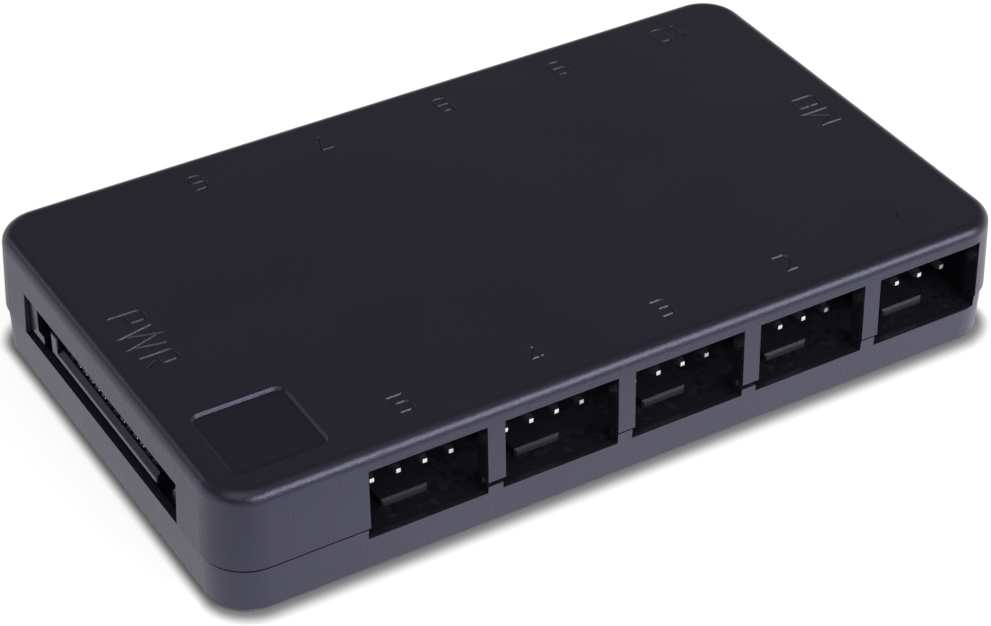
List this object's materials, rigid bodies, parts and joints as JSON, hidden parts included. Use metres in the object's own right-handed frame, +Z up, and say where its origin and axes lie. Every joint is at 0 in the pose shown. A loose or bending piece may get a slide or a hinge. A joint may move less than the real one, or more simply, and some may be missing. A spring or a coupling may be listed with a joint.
{
  "type": "pc fan controller hub",
  "caption": "Flat dark plastic hub for computer case fans, with pin headers in windows along both sides, a power slot at one end and a control header at the other.",
  "frame": {"origin": "centre of the underside, on the surface it rests on", "axes": "+X along the length towards the board port, +Y towards the rear ports six to ten, +Z up; the power slot is at the -X end"},
  "size_m": [0.08, 0.047, 0.0125],
  "materials": {
    "case_plastic": "fine matte texture",
    "header_plastic": "satin moulded",
    "socket_plastic": "satin moulded",
    "pin_metal": "tin plated",
    "contact_metal": "gold flashed",
    "board": "dark solder mask",
    "chip_plastic": "moulded",
    "capacitor_body": "fired",
    "fuse_body": "moulded",
    "can_metal": "drawn",
    "screw_steel": "dark zinc"
  },
  "bodies": {
    "root": {"top_cover": "case_plastic", "bottom_tray": "case_plastic", "circuit_board": "board", "fan_header_1": "header_plastic", "fan_header_pins_1": "pin_metal", "fan_header_2": "header_plastic", "fan_header_pins_2": "pin_metal", "fan_header_3": "header_plastic", "fan_header_pins_3": "pin_metal", "fan_header_4": "header_plastic", "fan_header_pins_4": "pin_metal", "fan_header_5": "header_plastic", "fan_header_pins_5": "pin_metal", "fan_header_6": "header_plastic", "fan_header_pins_6": "pin_metal", "fan_header_7": "header_plastic", "fan_header_pins_7": "pin_metal", "fan_header_8": "header_plastic", "fan_header_pins_8": "pin_metal", "fan_header_9": "header_plastic", "fan_header_pins_9": "pin_metal", "fan_header_10": "header_plastic", "fan_header_pins_10": "pin_metal", "board_header": "header_plastic", "board_header_pins": "pin_metal", "power_socket": "socket_plastic", "power_contacts": "contact_metal", "input_fuse": "fuse_body", "input_capacitor_base": "header_plastic", "input_capacitor_can": "can_metal", "buffer_chip_body": "chip_plastic", "buffer_chip_leads": "pin_metal", "chip_resistors": "chip_plastic", "chip_capacitors": "capacitor_body", "case_screws": "screw_steel"}
  },
  "joints": []
}
